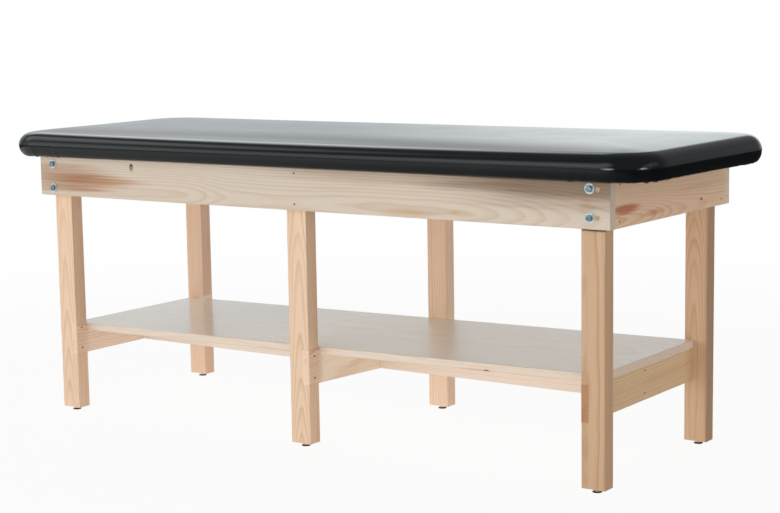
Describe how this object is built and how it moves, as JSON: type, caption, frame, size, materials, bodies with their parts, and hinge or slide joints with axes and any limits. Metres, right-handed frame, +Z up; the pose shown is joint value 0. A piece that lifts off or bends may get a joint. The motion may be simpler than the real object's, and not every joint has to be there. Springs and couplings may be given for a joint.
{
  "type": "treatment table",
  "caption": "Fixed-height treatment table: a padded, vinyl-covered top on a pine frame with square legs, cross rails, a sloping storage shelf and levelling glides.",
  "frame": {"origin": "on the floor under the middle of the padded top", "axes": "+X along the table's length to the end at the right of the picture, +Y to its back, +Z up"},
  "size_m": [2, 0.724, 0.7964],
  "materials": {
    "vinyl": "satin, fine grain",
    "foam": "open cell",
    "plywood": "raw",
    "pine": "clear satin varnish",
    "shelf_wood": "clear gloss varnish",
    "zinc": "zinc plated",
    "nail_steel": "darkened",
    "screw_steel": "dull yellow zinc",
    "filler": "matte",
    "glide_plastic": "dull"
  },
  "bodies": {
    "table": {"vinyl_cover": "vinyl", "foam_pad": "foam", "deck_board": "plywood", "cover_staples": "zinc", "side_apron_front": "pine", "side_apron_back": "pine", "end_apron_left": "pine", "end_apron_right": "pine", "leg_front_left": "pine", "leg_front_middle": "pine", "leg_front_right": "pine", "leg_back_left": "pine", "leg_back_middle": "pine", "leg_back_right": "pine", "cross_rail_left": "pine", "cross_rail_middle": "pine", "cross_rail_right": "pine", "stretcher_left": "pine", "stretcher_right": "pine", "shelf_board": "shelf_wood", "cleat_front_left": "pine", "cleat_front_right": "pine", "cleat_back_left": "pine", "cleat_back_right": "pine", "leg_bolts": "zinc", "bolt_washers": "zinc", "leg_nuts": "zinc", "hole_plugs": "filler", "rail_nails": "nail_steel", "stretcher_nails": "nail_steel", "middle_leg_nails": "nail_steel", "end_apron_nails": "nail_steel", "cleat_screws": "screw_steel", "deck_screws": "screw_steel", "pocket_screw": "screw_steel", "tee_nuts": "zinc"},
    "glide_front_left": {"glide_front_left": "glide_plastic", "stem_front_left": "zinc"},
    "glide_front_middle": {"glide_front_middle": "glide_plastic", "stem_front_middle": "zinc"},
    "glide_front_right": {"glide_front_right": "glide_plastic", "stem_front_right": "zinc"},
    "glide_back_left": {"glide_back_left": "glide_plastic", "stem_back_left": "zinc"},
    "glide_back_middle": {"glide_back_middle": "glide_plastic", "stem_back_middle": "zinc"},
    "glide_back_right": {"glide_back_right": "glide_plastic", "stem_back_right": "zinc"}
  },
  "joints": [
    {"name": "front_left_glide_height", "type": "slide", "parent": "table", "child": "glide_front_left", "axis": [0, 0, -1], "range_m": [0, 0.012]},
    {"name": "front_middle_glide_height", "type": "slide", "parent": "table", "child": "glide_front_middle", "axis": [0, 0, -1], "range_m": [0, 0.012]},
    {"name": "front_right_glide_height", "type": "slide", "parent": "table", "child": "glide_front_right", "axis": [0, 0, -1], "range_m": [0, 0.012]},
    {"name": "back_left_glide_height", "type": "slide", "parent": "table", "child": "glide_back_left", "axis": [0, 0, -1], "range_m": [0, 0.012]},
    {"name": "back_middle_glide_height", "type": "slide", "parent": "table", "child": "glide_back_middle", "axis": [0, 0, -1], "range_m": [0, 0.012]},
    {"name": "back_right_glide_height", "type": "slide", "parent": "table", "child": "glide_back_right", "axis": [0, 0, -1], "range_m": [0, 0.012]}
  ]
}
